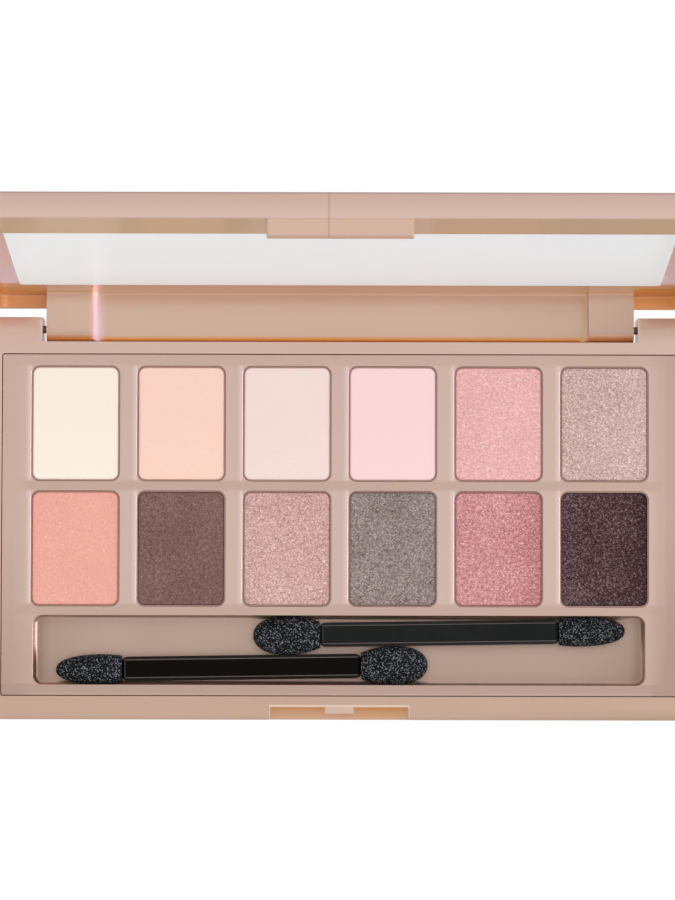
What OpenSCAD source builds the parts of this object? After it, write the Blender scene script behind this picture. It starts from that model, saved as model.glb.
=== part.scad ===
// Eyeshadow palette with a hinged window lid, twelve pressed powders and two
// sponge applicators.
// Frame: origin at the centre of the underside, +X right, +Y towards the hinge, +Z up.

/* [Case] */
// Width of the case rim at each side of the tray
side_rim = 4.8; // [4.4:0.1:8]
// Width of the case rim in front of the tray
front_rim = 4.7; // [4.4:0.1:6]
// Thickness of the case wall between the tray and the hinge block
hinge_wall = 2.47; // [2:0.01:4]
// Height of the case without the lid
base_h = 9; // [8.2:0.1:12]
// Thickness of the case floor
floor_t = 1.2; // [0.8:0.1:1.5]
// Radius of the upright corners in plan
corner_r = 2.2; // [1.4:0.1:3]
// Rounding of the long outer edges
edge_r = 0.6; // [0.3:0.1:0.9]
// Depth of the shallow recess in the underside
sole_recess = 0.3; // [0.1:0.05:0.5]
// Width of the rim that the case stands on
sole_rim = 8; // [7:0.5:12]

/* [Tray] */
// Margin of the tray at each side of the pans
tray_side = 5.67; // [4:0.01:8]
// Margin of the tray behind the pans
tray_back = 2.27; // [2:0.01:4]
// Margin of the tray in front of the applicator well
tray_front = 2.14; // [1.5:0.01:4]
// Strip of the tray between the pans and the applicator well
tray_strip = 1.75; // [1:0.01:4]
// Corner radius of the tray in plan
tray_corner = 0.4; // [0.3:0.1:1.5]
// Gap between the tray and the case all round
tray_gap = 0.12; // [0.05:0.01:0.3]
// How far the tray lies under the top of the case
tray_drop = 0.25; // [0.1:0.05:0.6]
// Wall thickness of the tray moulding
tray_wall = 0.95; // [0.6:0.05:1]

/* [Powder pans] */
// Width of one powder cake
powder_w = 16.9; // [14:0.05:22]
// Depth of one powder cake, front to back
powder_d = 22.2; // [18:0.05:28]
// Corner radius of a powder cake
powder_r = 1.4; // [0.8:0.05:3]
// Strip between neighbouring pans, left to right
column_gap = 3.38; // [2.4:0.01:6]
// Strip between the two rows of pans
row_gap = 1.87; // [1.8:0.01:6]
// Thickness of the tinplate
pan_wall = 0.18; // [0.15:0.01:0.4]
// Height of a pan
pan_h = 3.2; // [2:0.1:3.6]
// Gap between a pan and its cell
pan_gap = 0.05; // [0.04:0.01:0.2]
// How far the pan rim lies under the top of the tray
pan_drop = 0.15; // [0.05:0.05:0.5]
// How far the powder lies under the pan rim
powder_drop = 0.1; // [0.05:0.05:0.5]
// Rounding of the upper edge of a powder cake
cake_edge_r = 0.25; // [0.1:0.05:0.6]
// Thickness of the glue under a pan
glue_t = 0.2; // [0.1:0.05:0.4]
// Diameter of a glue dot
glue_d = 6; // [3:0.5:10]

/* [Applicator well] */
// Width of the well for the applicators
well_w = 119.8; // [118:0.2:124]
// How deep the well is sunk into the tray
well_h = 5.6; // [5.2:0.1:6.2]
// Corner radius of the well in plan
well_r = 1.8; // [1:0.1:3]
// Rounding inside the foot of the well
well_foot_r = 0.8; // [0.3:0.1:1.2]
// Rounding of the edges of the tray, the well and the pan cells
lip_r = 0.15; // [0.05:0.05:0.3]

/* [Lid] */
// Thickness of the lid at its rim
lid_t = 5; // [4.4:0.1:6]
// Gap between the closed lid and the case
parting_gap = 0.15; // [0.1:0.01:0.3]
// Depth of the hollow inside the lid
lid_hollow = 2.65; // [2:0.05:2.9]
// Width of the lid rim at the sides
lid_side_rim = 3.6; // [3:0.1:5]
// Width of the lid rim at the front
lid_front_rim = 12.4; // [10:0.1:14]
// Thickness of the lid wall behind the hollow
lid_back_wall = 1.2; // [0.8:0.1:1.6]
// Distance from the side of the lid to the window opening
window_side = 10; // [8:0.1:14]
// Distance from the back face of the lid to the window opening
window_back = 12.2; // [11:0.1:14]
// Distance from the front of the hollow to the window opening
window_front = 1.3; // [0.6:0.1:3]
// Corner radius of the window opening
window_r = 0.6; // [0.4:0.1:2]
// Corner radius of the clear sheet
sheet_r = 1; // [0.5:0.1:2]
// Thickness of the clear sheet
sheet_t = 1.2; // [0.8:0.1:1.3]
// How far the clear sheet overlaps the frame at the sides and the back
sheet_lap = 1.7; // [0.8:0.1:2]
// How far the clear sheet overlaps the frame at the front
front_lap = 1; // [0.4:0.1:1.1]
// Gap round the clear sheet
sheet_gap = 0.15; // [0.05:0.01:0.2]
// Rounding between the hollow and the roof of the lid
hollow_r = 0.5; // [0.2:0.1:1]
// Opening angle of the lid as stored
open_angle = 97.2; // [97:0.1:97.5]

/* [Hinge] */
// Height of the hinge axis below the top of the case
axis_drop = 4.45; // [4.3:0.05:4.6]
// Distance from the back face of the case to the hinge axis
axis_in = 2.15; // [2:0.05:2.4]
// Distance from the hinge axis to the wall of the recess in front of it
recess_front = 2.68; // [2.6:0.01:2.9]
// Width of the case corner at each side of the hinge block
hinge_corner = 12.55; // [10:0.05:16]
// Gap at each end of the hinge block
block_gap = 0.6; // [0.4:0.1:1.2]
// Length of each full end of the hinge block
knuckle_w = 8.9; // [8.5:0.1:14]
// How far the middle of the block lies behind its ends
block_step = 1.87; // [1.7:0.01:1.95]
// Radius of the blend between an end and the middle of the block
blend_r = 1.6; // [0.8:0.1:1.6]
// Rounding of the lower edge of the middle of the block
heel_r = 0.5; // [0.2:0.1:0.8]
// Gap left between the heel of the block and its stop
stop_gap = 0.04; // [0.02:0.01:0.1]
// Diameter of a hinge pin
pin_d = 1.5; // [1.2:0.1:1.6]
// Radial clearance of a pin in the lid
pin_play = 0.05; // [0.03:0.01:0.08]
// How far a pin reaches into the hinge block
pin_reach = 8; // [6:0.5:8.5]
// Free depth of the bore in the block beyond the end of a pin
pin_end_gap = 0.5; // [0.2:0.1:1]
// How far a pin is sunk into the side of the case
pin_sunk = 0.3; // [0.1:0.05:0.6]
// Bevel on the inner end of a pin
pin_bevel = 0.15; // [0.1:0.05:0.3]

/* [Latch] */
// Width of the latch tab
tab_w = 26.7; // [22:0.1:30]
// Height of the tab below the lid rim
tab_h = 3.4; // [3.2:0.1:3.8]
// Thickness of the tab
tab_t = 1.6; // [1.4:0.05:1.7]
// How deep the nib is rooted in the wall of the notch
nib_root = 0.2; // [0.1:0.1:0.5]
// Rounding of the outer edges of the tab
tab_edge_r = 0.4; // [0.2:0.1:0.6]
// Depth of the pocket that snaps over the nib
pocket_d = 0.5; // [0.4:0.05:0.8]
// Gap on each side of the tab
tab_gap = 0.2; // [0.15:0.05:0.6]
// Depth of the thumb notch in the case
notch_d = 2.5; // [2.4:0.05:2.6]
// Height of the thumb notch
notch_h = 5; // [4.6:0.1:5.4]
// Corner radius of the thumb notch in plan
notch_r = 0.3; // [0.2:0.1:1]
// Width of the latch nib
nib_w = 5.5; // [4:0.1:8]
// How far the nib stands out
nib_out = 1.2; // [1.1:0.05:1.25]
// Height of the nib
nib_h = 1.4; // [1:0.1:1.6]
// Height of the nib above the foot of the tab
nib_rise = 0.9; // [0.7:0.1:1.2]
// Clearance of the nib in the pocket of the tab
nib_gap = 0.3; // [0.2:0.05:0.4]

/* [Applicators] */
// Length of the handle between the sponges
handle_l = 47; // [44:0.1:48]
// Width of the handle
handle_w = 4.8; // [4.2:0.1:4.9]
// Height of the handle
handle_h = 3.2; // [2.8:0.1:3.6]
// Radius of the upright corners of the handle
handle_r = 1.2; // [0.8:0.1:2]
// Bevel along the handle
handle_bevel = 0.65; // [0.4:0.05:1]
// Length of the pointed sponge
point_l = 12.9; // [12:0.1:14]
// Width of the pointed sponge
point_w = 5.8; // [5.2:0.1:5.9]
// Length of the round sponge
round_l = 13; // [12:0.1:14]
// Width of the round sponge
round_w = 7.3; // [6.6:0.1:7.4]
// Thickness of both sponges
sponge_t = 4.6; // [4:0.1:5]
// Width of a sponge where it meets the handle
mouth_w = 5.2; // [4.8:0.1:5.6]
// Length of the paddle inside a sponge
paddle_l = 8; // [5:0.5:9]
// Width of the paddle
paddle_w = 2.6; // [2:0.1:3.4]
// Thickness of the paddle
paddle_t = 1.1; // [0.8:0.1:1.4]
// Turn of both applicators in the well, in degrees
lay_turn = 0.85; // [0.6:0.05:0.9]
// Free length of the well beyond the point of the front applicator
front_spare = 4.4; // [1:0.05:8]
// Free length of the well beyond the point of the rear applicator
rear_spare = 3.8; // [1:0.05:8]
// Gap between a sponge and the wall of the well
wall_gap = 0.05; // [0.03:0.01:0.3]
// Gap between a round sponge and the handle beside it
side_gap = 0.14; // [0.08:0.01:0.4]
// Height of the applicators over the well floor
lay_gap = 0.03; // [0.02:0.01:0.1]

/* [Hidden] */
$fn = 64;
eps = 0.01;
columns = 6;
rows = 2;
pan_count = columns * rows;

// Pans, and the cells of the tray that they stand in
pan_w = powder_w + 2 * pan_wall;
pan_d = powder_d + 2 * pan_wall;
pan_r = powder_r + pan_wall;
cell_w = pan_w + 2 * pan_gap;
cell_d = pan_d + 2 * pan_gap;
pitch_x = cell_w + column_gap;
pitch_y = cell_d + row_gap;

function to_cent(size) = round(100 * size) / 100;

// Each applicator points to its own end of the well.
well_x = -0.1;
front_x = well_x - well_w / 2 + front_spare + point_l + handle_l / 2;
rear_x = well_x + well_w / 2 - rear_spare - point_l - handle_l / 2;

// The widest place of each sponge leans this far out of the line of its applicator.
lean = to_cent((handle_l + point_l) / 2 * sin(lay_turn));
applicator_in = max(round_w / 2 - lean, point_w / 2 + lean) + wall_gap;
spacing = (round_w + handle_w) / 2 + to_cent((rear_x - front_x) * sin(lay_turn)) + side_gap;
well_d = 2 * applicator_in + spacing;

// The tray holds the pans and the well, and the case holds the tray.
tray_w = (columns - 1) * pitch_x + cell_w + 2 * tray_side;
tray_d = tray_back + (rows - 1) * pitch_y + cell_d + tray_strip + well_d + tray_front;
case_w = tray_w + 2 * side_rim;
case_d = front_rim + tray_d + hinge_wall + recess_front + axis_in;

axis_y = case_d / 2 - axis_in;
axis_z = base_h - axis_drop;
lid_rim = axis_drop + parting_gap;
lid_top = lid_rim + lid_t;
lid_plate = lid_rim + lid_hollow;
lid_front = case_d - axis_in;

tray_y = -case_d / 2 + front_rim + tray_d / 2;
tray_top = base_h - tray_drop;
tray_h = tray_top - floor_t;
row_y = tray_y + tray_d / 2 - tray_back - cell_d / 2;
well_y = tray_y - tray_d / 2 + tray_front + well_d / 2;
well_floor = tray_top - well_h;

pan_top = tray_top - pan_drop;
pan_z = pan_top - pan_h;
cell_h = tray_top - pan_z + glue_t;

recess_w = case_w - 2 * hinge_corner;
block_w = recess_w - 2 * block_gap;
mid_w = block_w - 2 * knuckle_w;
// The heel turns to the front as the lid opens and meets the recess wall at open_angle.
heel_h = (recess_front - stop_gap + axis_in * cos(open_angle)) / sin(open_angle);

tab_y = -lid_front;
notch_w = tab_w + 2 * tab_gap;
notch_z = base_h - notch_h;
nib_z = base_h + parting_gap - tab_h + nib_rise;

window_w = case_w - 2 * window_side;
window_d = lid_front - lid_front_rim - window_front - (window_back - axis_in);
window_y = -(window_back - axis_in) - window_d / 2;
sheet_w = window_w + 2 * sheet_lap;
sheet_d = window_d + sheet_lap + front_lap;
sheet_y = window_y + (sheet_lap - front_lap) / 2;

POWDERS = [
  [0.98, 0.93, 0.87], [0.98, 0.80, 0.72], [0.90, 0.83, 0.80],
  [0.97, 0.79, 0.80], [0.86, 0.62, 0.60], [0.72, 0.60, 0.57],
  [0.90, 0.62, 0.54], [0.45, 0.35, 0.32], [0.75, 0.60, 0.57],
  [0.52, 0.49, 0.46], [0.76, 0.50, 0.51], [0.30, 0.23, 0.24]];
SHELL = [0.80, 0.66, 0.58];
BLACK = [0.08, 0.08, 0.09];
FOAM = [0.14, 0.14, 0.16];

function two_digits(k) = k < 10 ? str("0", k) : str(k);
function pan_name(k) = str("pan_", two_digits(k + 1));
function powder_name(k) = str("powder_", two_digits(k + 1));

// ---- Shapes that repeat ----

// What a round edge of radius r takes off a square corner
module edge_waste(r) {
  difference() {
    square(r + 1);
    circle(r);
  }
}

// Section of a wall from its corner axis out to r, with its two outer edges rounded.
// flare widens the top instead, as a round lip does to a pocket.
module wall_section(r, h, top_r, bottom_r, flare) {
  difference() {
    square([r, h]);
    if (top_r > 0) {
      translate([r - top_r, h - top_r]) edge_waste(top_r);
    }
    if (bottom_r > 0) {
      translate([r - bottom_r, bottom_r]) mirror([0, 1]) edge_waste(bottom_r);
    }
  }
  if (flare > 0) {
    translate([r - eps, h - flare]) {
      difference() {
        square([flare + eps, flare + eps]);
        translate([flare + eps, 0]) circle(flare);
      }
    }
  }
}

// Block with round upright corners, whose wall has the drawn section all round
module swept_block(w, d, h, r) {
  core = [w - 2 * r, d - 2 * r];
  translate([-core.x / 2 - eps, -core.y / 2 - eps, 0]) {
    cube([core.x + 2 * eps, core.y + 2 * eps, h]);
  }
  for (side = [0:3]) {
    across = side % 2 == 0 ? core.x : core.y;
    along = side % 2 == 0 ? core.y : core.x;
    rotate([0, 0, 90 * side]) {
      translate([across / 2, 0, 0]) {
        rotate([90, 0, 0]) {
          linear_extrude(along, center = true) children();
        }
        translate([0, along / 2, 0]) rotate_extrude(angle = 90) children();
      }
    }
  }
}

// Block with round edges
module soft_block(w, d, h, r, top_r = 0, bottom_r = 0, flare = 0) {
  swept_block(w, d, h, r) wall_section(r, h, top_r, bottom_r, flare);
}

// Rectangle with round corners
module soft_square(w, d, r) {
  square([w - 2 * r, d], center = true);
  square([w, d - 2 * r], center = true);
  for (x = [-1, 1], y = [-1, 1]) {
    translate([x * (w / 2 - r), y * (d / 2 - r)]) circle(r);
  }
}

// Puts what is drawn at the middle of pan k, counted from the back left
module at_pan(k) {
  x = (k % columns - (columns - 1) / 2) * pitch_x;
  translate([x, row_y - floor(k / columns) * pitch_y, 0]) children();
}

// The lid is drawn closed about the hinge axis, with its front towards -Y, and is
// turned open here.
module at_hinge() {
  translate([0, axis_y, axis_z]) rotate([-open_angle, 0, 0]) children();
}

// ---- Case ----

module thumb_notch() {
  front = -case_d / 2;
  translate([0, 0, notch_z]) {
    linear_extrude(notch_h + 1) {
      difference() {
        translate([0, front]) soft_square(notch_w, 2 * notch_d, notch_r);
        translate([-notch_w, front - 2 * notch_d]) square([2 * notch_w, 2 * notch_d - 1]);
      }
      difference() {
        translate([-notch_w / 2 - edge_r, front - 1]) square([notch_w + 2 * edge_r, 1 + edge_r]);
        for (x = [-1, 1]) {
          translate([x * (notch_w / 2 + edge_r), front + edge_r]) circle(edge_r);
        }
      }
    }
  }
}

module latch_nib() {
  rise = nib_h / 3;
  back = -case_d / 2 + notch_d + nib_root;
  translate([0, back, nib_z]) {
    rotate([90, 0, -90]) {
      linear_extrude(nib_w, center = true) {
        polygon([
          [0, 0], [nib_out + nib_root, rise], [nib_out + nib_root, nib_h - rise], [0, nib_h]]);
      }
    }
  }
}

module base_case() {
  color(SHELL) {
    difference() {
      soft_block(case_w, case_d, base_h, corner_r, edge_r, edge_r);
      translate([0, tray_y, floor_t]) {
        soft_block(tray_w + 2 * tray_gap, tray_d + 2 * tray_gap, base_h, tray_corner + tray_gap);
      }
      // Shallow recess in the underside, so that the case stands on its edges
      translate([0, 0, -1]) {
        linear_extrude(1 + sole_recess) {
          soft_square(case_w - 2 * sole_rim, case_d - 2 * sole_rim, corner_r);
        }
      }
      // Room for the hinge block, open at the back and below
      translate([-recess_w / 2, axis_y - recess_front, -1]) cube([recess_w, case_d, base_h + 2]);
      // Rear edge of the corners, round about the hinge axis so that the lid can turn
      difference() {
        translate([-case_w, axis_y, axis_z]) cube([2 * case_w, axis_in + 1, axis_drop + 1]);
        translate([0, axis_y, axis_z]) {
          rotate([0, 90, 0]) cylinder(r = axis_drop, h = 3 * case_w, center = true);
        }
      }
      // Bores for the hinge pins
      translate([0, axis_y, axis_z]) {
        rotate([0, 90, 0]) cylinder(d = pin_d, h = case_w + 2, center = true);
      }
      thumb_notch();
    }
    latch_nib();
  }
}

module hinge_pin(side) {
  inner = block_w / 2 - pin_reach;
  outer = case_w / 2 - pin_sunk;
  color([0.75, 0.75, 0.77]) {
    translate([0, axis_y, axis_z]) {
      rotate([0, side * 90, 0]) {
        translate([0, 0, inner]) cylinder(d1 = pin_d - 2 * pin_bevel, d2 = pin_d, h = pin_bevel);
        translate([0, 0, inner + pin_bevel]) cylinder(d = pin_d, h = outer - inner - pin_bevel);
      }
    }
  }
}

// ---- Tray, pans and powders ----

module pan_tray() {
  cell_t = cell_h + tray_wall;
  color(SHELL) {
    difference() {
      union() {
        difference() {
          translate([0, tray_y, floor_t]) soft_block(tray_w, tray_d, tray_h, tray_corner, lip_r);
          // Hollow underside of the moulding
          translate([0, tray_y, floor_t - 1]) {
            hollow_h = tray_h + 1 - tray_wall;
            soft_block(tray_w - 2 * tray_wall, tray_d - 2 * tray_wall, hollow_h, tray_corner / 2);
          }
        }
        for (k = [0:pan_count - 1]) {
          at_pan(k) {
            translate([-cell_w / 2 - tray_wall, -cell_d / 2 - tray_wall, tray_top - cell_t]) {
              cube([cell_w + 2 * tray_wall, cell_d + 2 * tray_wall, cell_t - tray_wall / 2]);
            }
          }
        }
        translate([well_x - well_w / 2 - tray_wall, well_y - well_d / 2 - tray_wall, floor_t]) {
          cube([well_w + 2 * tray_wall, well_d + 2 * tray_wall, tray_h - tray_wall / 2]);
        }
      }
      for (k = [0:pan_count - 1]) {
        at_pan(k) {
          translate([0, 0, tray_top - cell_h]) {
            soft_block(cell_w, cell_d, cell_h, pan_r + pan_gap, flare = lip_r);
          }
        }
      }
      translate([well_x, well_y, well_floor]) {
        soft_block(well_w, well_d, well_h, well_r, bottom_r = well_foot_r, flare = lip_r);
      }
    }
  }
}

module glue_dots() {
  color([0.9, 0.88, 0.8]) {
    for (k = [0:pan_count - 1]) {
      at_pan(k) {
        translate([0, 0, pan_z - glue_t]) cylinder(d = glue_d, h = glue_t);
      }
    }
  }
}

module pan(k) {
  color([0.82, 0.80, 0.78]) {
    at_pan(k) {
      difference() {
        translate([0, 0, pan_z]) soft_block(pan_w, pan_d, pan_h, pan_r, bottom_r = pan_wall * 2);
        translate([0, 0, pan_z + pan_wall]) {
          soft_block(powder_w, powder_d, pan_h, powder_r, bottom_r = pan_wall);
        }
      }
    }
  }
}

module powder(k) {
  cake_h = pan_h - pan_wall - powder_drop;
  color(POWDERS[k]) {
    at_pan(k) {
      translate([0, 0, pan_z + pan_wall]) {
        soft_block(powder_w, powder_d, cake_h, powder_r, top_r = cake_edge_r, bottom_r = pan_wall);
      }
    }
  }
}

// ---- Lid ----

// Side view of the hinge block: a barrel in front of a square heel
module block_section() {
  barrel_z = axis_in - heel_h;
  translate([0, -heel_h]) square([axis_in, heel_h + lid_plate + eps]);
  translate([-axis_in, barrel_z]) square([axis_in + eps, lid_plate + eps - barrel_z]);
  translate([0, barrel_z]) circle(axis_in);
}

module hinge_block() {
  difference() {
    rotate([90, 0, 90]) linear_extrude(block_w, center = true) block_section();
    // The middle lies further back than the ends
    translate([0, -axis_in, -heel_h - 1]) {
      linear_extrude(heel_h + 1 + lid_plate) {
        soft_square(mid_w, 2 * block_step, blend_r);
      }
    }
    // Round lower edge of the middle
    translate([0, block_step - axis_in + heel_r, heel_r - heel_h]) {
      rotate([90, 0, 90]) {
        linear_extrude(mid_w - 2 * blend_r, center = true) rotate(180) edge_waste(heel_r);
      }
    }
    rotate([0, 90, 0]) {
      for (end = [-1, 1]) {
        translate([0, 0, end * (block_w + 1 - pin_reach - pin_end_gap) / 2]) {
          cylinder(r = pin_d / 2 + pin_play, h = pin_reach + pin_end_gap + 1, center = true);
        }
      }
    }
  }
}

module latch_tab() {
  pocket_z = nib_z - nib_gap - axis_z;
  translate([0, tab_y, lid_rim - tab_h]) {
    difference() {
      // Drawn lying on its back, with its head sunk in the lid
      translate([0, tab_t, (tab_h + lid_t / 2) / 2]) {
        rotate([90, 0, 0]) {
          soft_block(tab_w, tab_h + lid_t / 2, tab_t, tab_edge_r, top_r = tab_edge_r);
        }
      }
      // Pocket that snaps over the nib
      translate([-nib_w / 2 - nib_gap, tab_t - pocket_d, pocket_z - lid_rim + tab_h]) {
        cube([nib_w + 2 * nib_gap, pocket_d + 1, nib_h + 2 * nib_gap]);
      }
    }
  }
}

module lid_frame() {
  hollow_w = case_w - 2 * lid_side_rim;
  hollow_back = axis_in - lid_back_wall;
  hollow_front = -(lid_front - lid_front_rim);
  hollow_d = hollow_back - hollow_front;
  color(SHELL) {
    at_hinge() {
      difference() {
        translate([0, axis_in - case_d / 2, lid_rim]) {
          soft_block(case_w, case_d, lid_t, corner_r, edge_r, 0.25);
        }
        translate([0, hollow_back - hollow_d / 2, lid_rim - 1]) {
          soft_block(hollow_w, hollow_d, lid_hollow + 1, corner_r, top_r = hollow_r);
        }
        translate([0, window_y, lid_rim]) {
          linear_extrude(2 * lid_t) soft_square(window_w, window_d, window_r);
        }
        // Rebate for the clear sheet, open to the hollow
        translate([0, sheet_y, lid_plate - eps]) {
          linear_extrude(sheet_t + eps) {
            soft_square(sheet_w + 2 * sheet_gap, sheet_d + 2 * sheet_gap, sheet_r + sheet_gap);
          }
        }
      }
      hinge_block();
      latch_tab();
    }
  }
}

module lid_window() {
  color([0.92, 0.95, 0.96, 0.4]) {
    at_hinge() {
      translate([0, sheet_y, lid_plate]) soft_block(sheet_w, sheet_d, sheet_t, sheet_r);
    }
  }
}

// ---- Applicators ----

// Places what is drawn along X from the middle of a handle; turned is 1 for the
// applicator whose round sponge points left
module lay(x, y, turned) {
  translate([x, y, well_floor + lay_gap + sponge_t / 2]) {
    rotate([0, 0, lay_turn + 180 * turned]) children();
  }
}

module lay_front() {
  lay(front_x, well_y - spacing / 2, 0) children();
}

module lay_rear() {
  lay(rear_x, well_y + spacing / 2, 1) children();
}

// Flat paddles at both ends of the handle, which the sponges are glued over
module paddles() {
  translate([0, 0, -paddle_t / 2]) {
    linear_extrude(paddle_t) soft_square(handle_l + 2 * paddle_l, paddle_w, paddle_w / 2 - eps);
  }
}

module handle() {
  color(BLACK) {
    translate([0, 0, -handle_h / 2]) {
      swept_block(handle_l, handle_w, handle_h, handle_r) {
        polygon([
          [0, 0],
          [handle_r - handle_bevel, 0],
          [handle_r, handle_bevel],
          [handle_r, handle_h - handle_bevel],
          [handle_r - handle_bevel, handle_h],
          [0, handle_h]]);
      }
    }
    paddles();
  }
}

// Half width of a sponge at the share t of its length from the handle to the tip.
// It widens up to the share peak and then closes in a blunt tip.
function sponge_half(t, full, peak) =
  t < peak
  ? mouth_w / 2 + (full - mouth_w) / 2 * sin(90 * t / peak)
  : full / 2 * (1 - min(1, (t - peak) / (1 - peak)) ^ 2.4) ^ 0.45;

module sponge(length, full, peak, end) {
  steps = 20;
  color(FOAM) {
    difference() {
      translate([end * handle_l / 2, 0, 0]) {
        scale([1, 1, sponge_t / full]) {
          rotate([0, end * 90, 0]) {
            rotate_extrude($fn = 32) {
              polygon([
                [0, 0],
                for (k = [0:steps]) [sponge_half(k / steps, full, peak), length * k / steps]]);
            }
          }
        }
      }
      paddles();
    }
  }
}

module point_sponge() {
  sponge(point_l, point_w, 0.3, -1);
}

module round_sponge() {
  sponge(round_l, round_w, 0.45, 1);
}

base_case();
pan_tray();
glue_dots();
for (k = [0:pan_count - 1]) {
  pan(k);
  powder(k);
}
hinge_pin(-1);  // hinge_pin_left
hinge_pin(1);  // hinge_pin_right
lid_frame();
lid_window();
lay_front() handle();  // front_handle
lay_front() point_sponge();  // front_point_sponge
lay_front() round_sponge();  // front_round_sponge
lay_rear() handle();  // rear_handle
lay_rear() point_sponge();  // rear_point_sponge
lay_rear() round_sponge();  // rear_round_sponge
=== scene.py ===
import math

import bpy
from mathutils import Matrix, Vector


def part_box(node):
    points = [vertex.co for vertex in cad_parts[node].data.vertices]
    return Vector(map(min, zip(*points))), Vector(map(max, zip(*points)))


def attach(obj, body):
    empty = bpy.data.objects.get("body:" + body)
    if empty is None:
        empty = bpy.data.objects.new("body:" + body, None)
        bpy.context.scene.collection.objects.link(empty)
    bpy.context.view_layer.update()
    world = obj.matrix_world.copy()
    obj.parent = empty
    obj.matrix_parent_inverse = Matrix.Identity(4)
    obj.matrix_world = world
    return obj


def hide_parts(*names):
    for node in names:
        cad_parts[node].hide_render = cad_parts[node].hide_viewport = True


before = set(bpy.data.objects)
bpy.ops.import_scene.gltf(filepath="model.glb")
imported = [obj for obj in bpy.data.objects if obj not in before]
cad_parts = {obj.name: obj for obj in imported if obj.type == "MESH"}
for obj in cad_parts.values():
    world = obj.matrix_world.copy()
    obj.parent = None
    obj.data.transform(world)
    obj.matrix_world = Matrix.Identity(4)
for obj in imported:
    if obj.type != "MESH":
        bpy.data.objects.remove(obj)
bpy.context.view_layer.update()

MM = 0.001

# ---------------------------------------------------------------------------
# Camera and view. The palette is looked at from almost straight above, from
# far off, with the long lens that product pictures are taken with.
# ---------------------------------------------------------------------------
FRAME_HEIGHT_PX = 900
SCALE_PX_PER_MM = 5.10
CAMERA_DISTANCE = 861.4 * MM
CAMERA_TILT = math.radians(3.0)
CAMERA_ROLL = math.radians(0.13)
SENSOR_WIDTH_MM = 36.0
CLIP_NEAR = 0.05
CLIP_FAR = 20.0
AIM = Vector((-0.47, 13.39, 9.0)) * MM

lens_px = SCALE_PX_PER_MM * CAMERA_DISTANCE / MM
camera_data = bpy.data.cameras.new("camera")
camera_data.sensor_fit = "AUTO"
camera_data.sensor_width = SENSOR_WIDTH_MM
camera_data.lens = lens_px * SENSOR_WIDTH_MM / FRAME_HEIGHT_PX
camera_data.clip_start = CLIP_NEAR
camera_data.clip_end = CLIP_FAR
camera = bpy.data.objects.new("camera", camera_data)
bpy.context.scene.collection.objects.link(camera)
backwards = Vector((0, -math.sin(CAMERA_TILT), math.cos(CAMERA_TILT)))
camera.matrix_world = (
    Matrix.Translation(AIM + backwards * CAMERA_DISTANCE)
    @ Matrix.Rotation(CAMERA_TILT, 4, "X")
    @ Matrix.Rotation(CAMERA_ROLL, 4, "Z")
)
bpy.context.scene.camera = camera
bpy.context.scene.view_settings.view_transform = "Standard"


# ---------------------------------------------------------------------------
# Case shell and lid. Both are mouldings with a satin rose-beige metallic
# lacquer: a warm metallic coat under a thin clear one, with the faint
# unevenness that lacquer on a moulding has.
# ---------------------------------------------------------------------------
class Wire:
    """A node's output that Python's operators work on; each adds a Math node."""

    def __init__(self, tree, socket):
        self.tree = tree
        self.socket = socket

    def math(self, operation, *values):
        node = self.tree.nodes.new("ShaderNodeMath")
        node.operation = operation
        for place, value in enumerate(values):
            if isinstance(value, Wire):
                self.tree.links.new(value.socket, node.inputs[place])
            else:
                node.inputs[place].default_value = value
        return Wire(self.tree, node.outputs[0])

    def __add__(self, other):
        return self.math("ADD", self, other)

    def __radd__(self, other):
        return self.math("ADD", other, self)

    def __sub__(self, other):
        return self.math("SUBTRACT", self, other)

    def __rsub__(self, other):
        return self.math("SUBTRACT", other, self)

    def __mul__(self, other):
        return self.math("MULTIPLY", self, other)

    def __rmul__(self, other):
        return self.math("MULTIPLY", other, self)

    def __truediv__(self, other):
        return self.math("DIVIDE", self, other)

    def __rtruediv__(self, other):
        return self.math("DIVIDE", other, self)

    def __pow__(self, other):
        return self.math("POWER", self, other)

    def __gt__(self, other):
        return self.math("GREATER_THAN", self, other)

    def __lt__(self, other):
        return self.math("LESS_THAN", self, other)

    def size(self):
        return self.math("ABSOLUTE", self)

    def fraction(self):
        return self.math("FRACT", self)

    def larger(self, other):
        return self.math("MAXIMUM", self, other)

    def clamped(self):
        return self.math("MINIMUM", self.larger(0.0), 1.0)

    def between(self, low, high):
        return (self > low) * (self < high)

    def rise(self, start, run):
        """0 as far as start, then up to 1 over the run behind it."""
        return ((self - start) / run).clamped()

    def fall(self, end, run):
        """0 from end onwards, and up to 1 over the run before it."""
        return ((end - self) / run).clamped()

    def line(self, middle, reach, peak=1.0):
        """Peak in the middle, 1 less at each reach from it, and kept from 0 to 1."""
        return (peak - (self - middle).size() / reach).clamped()


class Nodes:
    """A node tree whose nodes, apart from Math, are all added by one method."""

    def __init__(self, tree):
        self.tree = tree

    def node(self, kind, settings=None, inputs=None, out=0):
        """Adds a node; out is one of its outputs, or a tuple for several."""
        node = self.tree.nodes.new(kind)
        for key, value in (settings or {}).items():
            setattr(node, key, value)
        for key, value in (inputs or {}).items():
            self.feed(node.inputs[key], value)
        if isinstance(out, tuple):
            return [Wire(self.tree, node.outputs[name]) for name in out]
        return Wire(self.tree, node.outputs[out])

    def feed(self, socket, value):
        """Links one wire or a list of them to a socket, or sets its value."""
        if isinstance(value, (Wire, list)):
            for wire in value if isinstance(value, list) else [value]:
                self.tree.links.new(wire.socket, socket)
        else:
            socket.default_value = value


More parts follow.
